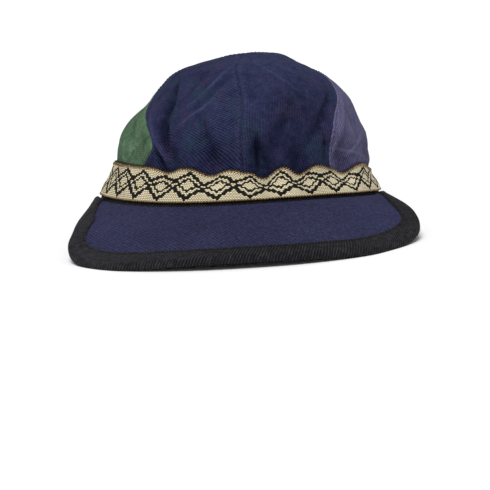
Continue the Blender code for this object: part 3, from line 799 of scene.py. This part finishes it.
# A row for each zigzag line, in shares of the strap's width
Zigzag = namedtuple("Zigzag", "low rise half_width")
ZIGZAGS = [
    Zigzag(0.12, 0.33, 0.070),
    Zigzag(0.33, 0.33, 0.040),
    Zigzag(0.72, -0.27, 0.040),
    Zigzag(0.88, -0.24, 0.055),
]


def room_for_slider(angle):
    """How far the strap has moved out for the slider's bar behind it, from 0 to 1 at the back."""
    from_back = np.abs(np.radians((angle + 360.0) % 360.0 - 180.0)) * RIM_HALF_WIDTH
    return 1 - ease((from_back - SLIDER_WIDTH / 2 - CLEARANCE) / STRAP_BACK_FADE)


def strap(angle, across, outwards):
    """Points on the strap, from its lower edge at 0 to its upper edge at 1, and so far off its back."""
    room = room_for_slider(angle)
    up = mix(STRAP_LIFT, strap_height(angle), across)
    above_tape = (up - 2 * RIM_TAPE_OUTSIDE) / STRAP_SETTLE
    over_tape = mix(CLEARANCE + TAPE, STRAP_PLAY - 2 * CLEARANCE, ease(above_tape))
    billow = STRAP_BILLOW * across ** 2 * (1 - strap_pinch(angle))
    stand_off = CLEARANCE + mix(over_tape + billow, CLEARANCE + TAPE + SLIDER_BACK + SLIDER_PLAY, room)
    return by_the_rim(angle, up, stand_off + outwards)


def webbing(name, length):
    """Woven webbing, in rows of knots that stand half a knot apart. Zigzag lines of black thread, stepped by
    the knots, cross into a chain of diamonds. Both edges have a line of brown thread."""
    material, uv, place = new_material(name, 0.88)
    along, up = uv.part(0), uv.part(1)
    row = up / KNOT_HEIGHT
    odd_row = (row.whole() * 0.5).fraction()
    knot = along / KNOT_LENGTH + odd_row
    knot_middle = (knot.whole() + 0.5 - odd_row) * KNOT_LENGTH
    height = (row.whole() + 0.5) * (KNOT_HEIGHT / STRAP_WIDTH)
    repeat = (knot_middle - PATTERN_START) * (PATTERN_REPEATS / length)
    away = 1.0 - abs(repeat.fraction() * 2.0 - 1.0)
    lines = [abs(height - (away * line.rise + line.low)) < line.half_width for line in ZIGZAGS]
    dots = (1.0 - knot.cosine(1.0)) * (1.0 - row.cosine(1.0)) * 0.25
    # Painted light: the ground grows paler towards the strap's right end.
    painted_right_light = (place.part(0) - RIGHT_LIGHT_FROM).clamped() * 5.0
    ground = (dots * 1.5 + 0.08 - (place.patches(20 * MM, 3.0, 2.0) - 0.5) * 0.30 + painted_right_light).clamped()
    ground = ground.colours((0.195, 0.155, 0.088), (0.880, 0.795, 0.555))
    brown = (along + up).cosine(BROWN_PITCH) * 0.5 + 0.5
    edge = abs(up / STRAP_WIDTH - 0.5) > BROWN_EDGE_FROM
    colour = edge.colours(sum(lines).clamped().colours(ground, (0.009, 0.009, 0.008)),
                          brown.colours((0.100, 0.055, 0.020), (0.300, 0.190, 0.075)))
    return finished(material, colour, dots, 0.35 * MM)


def strap_loop():
    """The webbing as a loop, with its edges rounded, and the length of its middle line."""
    low_back, low_face, high_face, high_back = rounded(
        [(0.0, 0.0), (0.0, STRAP_THICKNESS), (STRAP_WIDTH, STRAP_THICKNESS), (STRAP_WIDTH, 0.0)],
        STRAP_ROUNDING).reshape(4, -1, 2)
    middle = np.linspace(0.0, 1.0, STRAP_ROWS)[1:-1] * STRAP_WIDTH
    face = np.stack([middle, np.full_like(middle, STRAP_THICKNESS)], 1)
    back = np.stack([middle[::-1], np.zeros_like(middle)], 1)
    ring = np.concatenate([low_face, face, high_face, high_back, back, low_back])
    angles = np.linspace(-180.0, 180.0, STRAP_COLUMNS + 1)
    sections = strap(angles[:-1, None], ring[None, :, 0] / STRAP_WIDTH, ring[None, :, 1])
    along = run_along(strap(angles, np.full_like(angles, 0.5), np.full_like(angles, STRAP_THICKNESS)))
    ups = np.append(ring[:, 0], ring[0, 0])
    from_front = along - along[STRAP_COLUMNS // 2]
    uvs = np.stack(np.broadcast_arrays(from_front[:, None], ups[None, :]), -1)
    return swept_piece("webbing_strap", sections, uvs, loop=True), along[-1]


strap_piece, strap_length = strap_loop()
strap_piece.data.materials.append(webbing("patterned_webbing", strap_length))
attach(strap_piece, "root")
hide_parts("strap")


# The whipping of the strap: brown thread wound slantwise over the upper edge of the webbing, with black
# thread behind it that also paints the shadow line above the edge, and a finer brown row along the lower
# edge.

WHIP_PITCH = 1.8 * MM
WHIP_LENGTH = 2.4 * MM
WHIP_RADIUS = 0.38 * MM
WHIP_POINTS = 900
WHIP_STEP = 0.05


def whipped_edge(across, slant, out):
    """Points along an edge of the strap, and the slanting direction of the thread there."""
    angles = np.linspace(-180.0, 180.0, WHIP_POINTS)
    out = np.full_like(angles, out)
    points = rested(strap(angles, np.full_like(angles, across), out))
    below = rested(strap(angles, np.full_like(angles, across - WHIP_STEP), out))
    return points, unit(unit(points - below) + slant * unit(np.gradient(points, axis=0)))


def whipping(name, edge, size, thread):
    """The whipping of one edge of the strap."""
    piece = stitched(name, [edge], WHIP_PITCH, WHIP_LENGTH * size, WHIP_RADIUS * size, thread, stitch_rows)


brown_thread = thread_material("brown_thread", (0.030, 0.018, 0.009), (0.330, 0.220, 0.100))
black_thread = thread_material("black_thread", (0.010, 0.010, 0.012), (0.040, 0.036, 0.034))
whipping("upper_whipping", whipped_edge(0.975, 0.7, STRAP_THICKNESS), 1.0, brown_thread)
# Black thread, which also stands as a painted shadow line just above the strap's upper edge.
whipping("black_whipping_and_painted_shadow", whipped_edge(1.02, 0.7, STRAP_THICKNESS / 2), 1.1, black_thread)
whipping("lower_whipping", whipped_edge(0.02, 1.6, STRAP_THICKNESS), 0.7, brown_thread)


# The slider: a plain moulded frame that holds the two ends of the strap together at the back, with its
# edges rounded by the mould.

MOULD_ROUNDING = 0.5 * MM
BEVELLED_FROM = math.radians(40)
SLIDER_SHARP_EDGE = math.radians(50)
SAME_POINT_DIGITS = 6


def moulded_black(name):
    """Black plastic with a faint grain."""
    material, uv, place = new_material(name, 0.45, 0.4)
    grain = place.patches(0.6 * MM)
    return finished(material, grain.colours((0.010, 0.010, 0.011), (0.022, 0.022, 0.024)), grain, 0.03 * MM)


def slider():
    """The frame of the model, with its triangles joined up and its edges rounded."""
    joined = bpy.data.meshes.new("slider_frame")
    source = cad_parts["strap_slider"].data
    places = [tuple(round(c, SAME_POINT_DIGITS) for c in vertex.co) for vertex in source.vertices]
    numbers = {place: number for number, place in enumerate(dict.fromkeys(places))}
    triangles = [[numbers[places[v]] for v in face.vertices] for face in source.polygons]
    joined.from_pydata(list(numbers), [], [corners for corners in triangles if len(set(corners)) == 3])
    host = placed("slider_host", joined)
    bevel = host.modifiers.new("moulded_edges", "BEVEL")
    bevel.width = MOULD_ROUNDING
    bevel.segments = 3
    bevel.limit_method = "ANGLE"
    bevel.angle_limit = BEVELLED_FROM
    piece = made_plain("slider_frame", host)
    piece.data.shade_smooth()
    piece.data.set_sharp_from_angle(angle=SLIDER_SHARP_EDGE)
    return piece


slider_piece = slider()
slider_piece.data.materials.append(moulded_black("moulded_black"))
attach(slider_piece, "root")
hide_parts("strap_slider")


# The peak: a stiff board covered with unwashed navy twill, pulled smooth above and below. It grows from the
# rim and dips most at its two front corners.

PEAK_HALF_ANGLE = 68.0
PEAK_REACH = 60.0 * MM
PEAK_DROP = 24.8 * MM
PEAK_THICKNESS = 2.4 * MM
PEAK_TAPE = 0.8 * MM
PEAK_TOP = 0.6 * MM
PEAK_SWELL = 1.5 * MM
PEAK_TWIST_POWER = 8
PEAK_TAPE_WIDTH = 8.5 * MM
PEAK_TAPE_SHARE = 0.75
SIDE_TAPE_GAIN = 0.30
SIDE_TURN = 0.6
PEAK_END = 1.10
TAPE_END = 1.28
TAPE_END_LOSS = 0.42
TAPE_END_HEIGHT = 0.5
TAPE_NARROWS_FROM = 0.7
TAPE_MEETS_FROM = 0.85
COVER_UNDER_TAPE = 2.0 * MM
TURN_STEP = 0.05
NEAR_EDGE = 0.95
FULL_SWELL_FROM = 9.0 * MM
PEAK_COLUMNS = 320
PEAK_ROWS = 26
PEAK_TWILL_PITCH = 1.8 * MM
PEAK_THREAD_PITCH = 1.9 * MM
PEAK_DARKEST_AT = (0.0, -152.0 * MM)
PEAK_DARKEST_REACH = 80.0 * MM

# A row for each line across the peak, from its left end to its right one. The turn is a share of
# PEAK_HALF_ANGLE, out and forward are shares of PEAK_REACH from the rim, and the drop of PEAK_DROP. The rows
# beyond -1 and 1 are for the ends of the tape, which carry on along the rim.
Rib = namedtuple("Rib", "turn out forward drop")
PEAK = [
    Rib(-1.28, -0.020, 0.000, -0.020),
    Rib(-1.14, -0.050, 0.025, 0.000),
    Rib(-1.00, -0.135, 0.125, 0.080),
    Rib(-0.90, -0.286, 0.531, 0.305),
    Rib(-0.80, -0.408, 0.685, 0.492),
    Rib(-0.70, -0.532, 0.800, 0.696),
    Rib(-0.60, -0.572, 0.860, 0.905),
    Rib(-0.50, -0.524, 0.928, 1.005),
    Rib(-0.40, -0.436, 0.982, 1.016),
    Rib(-0.20, -0.220, 1.017, 0.967),
    Rib(0.00, 0.000, 1.021, 0.950),
    Rib(0.20, 0.228, 1.015, 0.980),
    Rib(0.40, 0.428, 0.971, 1.016),
    Rib(0.50, 0.500, 0.898, 0.988),
    Rib(0.60, 0.552, 0.828, 0.880),
    Rib(0.70, 0.538, 0.782, 0.694),
    Rib(0.80, 0.433, 0.665, 0.484),
    Rib(0.90, 0.293, 0.507, 0.288),
    Rib(1.00, 0.120, 0.090, 0.070),
    Rib(1.14, 0.050, 0.025, 0.020),
    Rib(1.28, 0.012, 0.000, 0.000),
]


def rim_edge(angle):
    """Where the peak meets the tape round the rim, at the height of the crown's edge."""
    tape = by_the_rim(angle, np.full_like(angle, -CLEARANCE - TAPE), CLEARANCE + TAPE)
    outwards = np.stack([tape[..., 0] / RIM_HALF_WIDTH ** 2, tape[..., 1] / RIM_HALF_DEPTH ** 2,
                         np.zeros_like(angle)], -1)
    edge = np.stack([tape[..., 0], tape[..., 1], smooth_crown(angle, 0.0)[..., 2]], -1)
    return edge + unit(outwards) * CLEARANCE


def peak_middle(turn, out):
    """Points half way through the peak: turn runs from -1 to 1 across it, out from the rim to its edge."""
    turn, out = np.broadcast_arrays(np.asarray(turn, float), np.asarray(out, float))
    turns = [row.turn for row in PEAK]
    side, forward, drop = (column(PEAK, name, turn, turns) for name in ("out", "forward", "drop"))
    inner = rim_edge(turn * PEAK_HALF_ANGLE)
    inner[..., 2] += PEAK_TOP - PEAK_THICKNESS / 2
    twist = smooth_crown(turn * PEAK_HALF_ANGLE, 0.0)[..., 2]
    twist = twist * np.minimum(np.abs(turn), 1.0) ** PEAK_TWIST_POWER
    reach = np.stack([side * PEAK_REACH, -forward * PEAK_REACH,
                      twist - drop * PEAK_DROP - inner[..., 2]], -1)
    points = inner + reach * out[..., None]
    swell = PEAK_SWELL * np.minimum(1.0, np.linalg.norm(reach, axis=-1) / FULL_SWELL_FROM)
    points[..., 2] += swell * 4 * out * (1 - out)
    return points


def peak_line_length(turn):
    return np.linalg.norm(peak_middle(turn, 1.0) - peak_middle(turn, 0.0), axis=-1)


def tape_leg(turn):
    """How far along a line across the peak its tape reaches in. It lies further in at the sides than in
    front, and less at the ends, where the peak is narrow."""
    before, after = np.maximum(turn - TURN_STEP, -TAPE_END), np.minimum(turn + TURN_STEP, TAPE_END)
    edge = peak_middle(after, 1.0) - peak_middle(before, 1.0)
    inwards = peak_middle(turn, 1.0) - peak_middle(turn, NEAR_EDGE)
    slant = np.linalg.norm(np.cross(unit(edge), unit(inwards)), axis=-1)
    side = np.abs(turn)
    width = PEAK_TAPE_WIDTH * (1 + SIDE_TAPE_GAIN * ease(side / SIDE_TURN))
    width = width * (1 - TAPE_END_LOSS * ease((side - TAPE_NARROWS_FROM) / (1 - TAPE_NARROWS_FROM)))
    share = mix(PEAK_TAPE_SHARE, 1.0, ease((side - TAPE_MEETS_FROM) / (1 - TAPE_MEETS_FROM)))
    return np.minimum(width / slant, share * peak_line_length(turn))


def peak_edge(turn, inwards, up):
    """Points by the peak's outer edge: a distance in from it, or beyond it, and one above its middle."""
    length = peak_line_length(turn)
    beyond = unit(peak_middle(turn, 1.0) - peak_middle(turn, NEAR_EDGE))
    points = peak_middle(turn, 1.0 - np.maximum(inwards, 0.0) / length)
    points = points + beyond * np.maximum(-inwards, 0.0)[..., None]
    points[..., 2] += up
    return points


def plain_twill(name):
    """Navy twill that has kept its dye, with fine diagonal lines and a little lint. It is darker towards its
    front.
    """
    material, uv, place = new_material(name, 0.95)
    weave = uv.twill(-56, PEAK_TWILL_PITCH, PEAK_THREAD_PITCH, 0.35)
    fade = (place.patches(40 * MM, 3.0, 1.0) * 0.45 + place.patches(2.4 * MM, 4.0, 2.0) * 0.55).clamped()
    colour = fade.colours((0.0145, 0.0150, 0.0400), (0.0310, 0.0320, 0.0760))
    lint = ((place.patches(1.3 * MM, 3.0, 9.0) - 0.74) * 8).clamped() * 0.70
    # Darker towards the peak's front.
    darker_in_front = uv.near(PEAK_DARKEST_AT, PEAK_DARKEST_REACH) * 0.20
    light = weave * 0.28 + 0.95 + (place.patches(1.5 * MM, 3.0, 6.0) - 0.5) * 0.60 + lint - darker_in_front
    return finished(material, colour.lit(light), weave, 0.14 * MM)


def peak_cover():
    """The covered board. Its edge lies under the tape."""
    turns = np.linspace(-PEAK_END, PEAK_END, PEAK_COLUMNS)
    covered = 1.0 - (tape_leg(turns) - COVER_UNDER_TAPE) / peak_line_length(turns)
    rows = np.linspace(0.0, 1.0, PEAK_ROWS)
    out = rows[None, :] * np.clip(covered, 0.0, 1.0)[:, None]
    middle = peak_middle(turns[:, None], out)
    up = np.array([0.0, 0.0, PEAK_THICKNESS / 2])
    sections = np.concatenate([middle + up, (middle - up)[:, ::-1]], 1)
    flat = np.concatenate([middle, middle[:, ::-1], middle[:, :1]], 1)
    return swept_piece("cloth_peak", sections, flat[..., :2])


peak_piece = peak_cover()
peak_piece.data.materials.append(plain_twill("navy_peak_twill"))
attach(peak_piece, "root")
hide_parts("peak")


# The peak's tape: wide black ribbed tape folded over the edge of the board. It is sewn through close to its
# inner edges, which the stitches draw in.

PEAK_TAPE_COLUMNS = 900
TAPE_LEG_POINTS = 16
TAPE_TURN_POINTS = 11
TAPE_SEAM_DEPTH = 0.45 * MM
TAPE_EDGE_DROP = 0.3 * MM
TAPE_EDGE_ROUND = 0.4 * MM
TAPE_GAP = 0.1 * MM
TAPE_FULLNESS = 0.7


def peak_tape():
    """The tape: in over the top, round the board's edge and back below it, then the same way inside."""
    turns = np.linspace(-TAPE_END, TAPE_END, PEAK_TAPE_COLUMNS)
    legs = tape_leg(turns)
    height = mix(1.0, TAPE_END_HEIGHT, ease((np.abs(turns) - PEAK_END) / (TAPE_END - PEAK_END)))
    near = height * (PEAK_THICKNESS / 2 + TAPE_GAP)
    far = height * (PEAK_THICKNESS / 2 + CLEARANCE + PEAK_TAPE)
    bulge = height * (CLEARANCE + PEAK_TAPE)
    shares = np.linspace(1.0, 0.0, TAPE_LEG_POINTS)
    arc = np.linspace(math.pi / 2, -math.pi / 2, TAPE_TURN_POINTS + 2)[1:-1]

    def leg_top(from_inner_edge):
        seam = TAPE_SEAM_DEPTH * np.exp(-((from_inner_edge - TAPE_SEAM) / TAPE_SEAM_WIDTH) ** 2)
        return far - seam - TAPE_EDGE_DROP * np.exp(-(from_inner_edge / TAPE_EDGE_ROUND) ** 2)

    leg = [(legs * share, leg_top(legs * (1 - share))) for share in shares]
    outside = leg + [(-bulge * math.cos(a) ** TAPE_FULLNESS, far * math.sin(a)) for a in arc]
    outside += [(inwards, -up) for inwards, up in leg[::-1]]
    inside = [(legs * share, -near) for share in shares]
    inside += [(legs * 0.0, -near * math.sin(a)) for a in arc]
    inside += [(legs * share, near) for share in shares[::-1]]
    outer, inner = (np.stack([peak_edge(turns, *row) for row in rows], 1) for rows in (outside, inside))
    along = run_along(peak_middle(turns, 1.0))
    across = run_along(outer, 1)
    across = np.concatenate([across, across[:, ::-1], across[:, :1]], 1)
    uvs = np.stack(np.broadcast_arrays(along[:, None], across), -1)
    return swept_piece("tape_round_peak", np.concatenate([outer, inner], 1), uvs)


peak_tape_piece = peak_tape()
peak_tape_piece.data.materials.append(ribbed_tape("black_peak_tape", (0.034, 0.033, 0.042)))
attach(peak_tape_piece, "root")
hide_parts("peak_binding")


# The floor: a plain pale surface, wide enough to fill the picture behind the cap.

FLOOR_HALF = 12.0

floor_mesh = bpy.data.meshes.new("pale_floor")
corners = [(x * FLOOR_HALF, y * FLOOR_HALF, 0.0) for x, y in ((-1, -1), (1, -1), (1, 1), (-1, 1))]
floor_mesh.from_pydata(corners, [], [(0, 1, 2, 3)])
floor_paint = bpy.data.materials.new("pale_floor")
floor_paint.use_nodes = True
floor_shader = floor_paint.node_tree.nodes["Principled BSDF"]
floor_shader.inputs["Base Color"].default_value = (0.80, 0.80, 0.80, 1.0)
floor_shader.inputs["Roughness"].default_value = 0.95
floor_mesh.materials.append(floor_paint)
floor = placed("pale_floor", floor_mesh)


# The light: a pale room all round, and a wide soft light from high above. It comes from in front of the cap,
# and a little from the viewer's left.

ROOM_LIGHT = 0.50
SKYLIGHT = 3.0
SKYLIGHT_SPREAD = math.radians(32.0)
SKYLIGHT_FROM = Vector((-0.12, -0.50, 1.0))

world = bpy.data.worlds.new("room")
world.use_nodes = True
room = world.node_tree.nodes["Background"]
room.inputs["Color"].default_value = (1.0, 1.0, 1.0, 1.0)
room.inputs["Strength"].default_value = ROOM_LIGHT
bpy.context.scene.world = world
skylight_data = bpy.data.lights.new("skylight", "SUN")
skylight_data.angle = SKYLIGHT_SPREAD
skylight_data.energy = SKYLIGHT
skylight = placed("skylight", skylight_data)
skylight.rotation_mode = "QUATERNION"
skylight.rotation_quaternion = SKYLIGHT_FROM.to_track_quat("Z", "Y")
bpy.context.scene.view_settings.view_transform = "Standard"


# The camera: a little above the cap, and tipped a little to one side. It is aimed so that the middle of the
# rim falls on a named pixel of a picture 490 pixels wide.

CAMERA_RISE = math.radians(9.7)
CAMERA_SIDE = math.radians(0.3)
CAMERA_ROLL = math.radians(-3.5)
CAMERA_AWAY = 0.9
RIM_MIDDLE = Vector((0.0, 29.0 * MM, 14.0 * MM))
RIM_PIXEL = (240.0, 191.0)
PICTURE_SIDE = 490.0
PIXEL_AT_RIM = 0.64 * MM
SENSOR_WIDTH = 36.0

focal_pixels = CAMERA_AWAY / PIXEL_AT_RIM
level = math.cos(CAMERA_RISE)
ahead = Vector((math.sin(CAMERA_SIDE) * level, math.cos(CAMERA_SIDE) * level, -math.sin(CAMERA_RISE)))
across = Vector((math.cos(CAMERA_SIDE), -math.sin(CAMERA_SIDE), 0.0))
above = across.cross(ahead)
side_way = across * math.cos(CAMERA_ROLL) + above * math.sin(CAMERA_ROLL)
up_way = above * math.cos(CAMERA_ROLL) - across * math.sin(CAMERA_ROLL)
facing = Matrix((side_way, up_way, -ahead)).transposed()
offset = Vector((RIM_PIXEL[0] - PICTURE_SIDE / 2, PICTURE_SIDE / 2 - RIM_PIXEL[1], -focal_pixels))
swing = offset.normalized().rotation_difference(Vector((0.0, 0.0, -1.0))).to_matrix()

camera_data = bpy.data.cameras.new("camera")
camera_data.sensor_width = SENSOR_WIDTH
camera_data.lens = SENSOR_WIDTH * focal_pixels / PICTURE_SIDE
camera = placed("camera", camera_data)
camera.matrix_world = Matrix.Translation(RIM_MIDDLE - ahead * CAMERA_AWAY) @ (facing @ swing).to_4x4()
bpy.context.scene.camera = camera
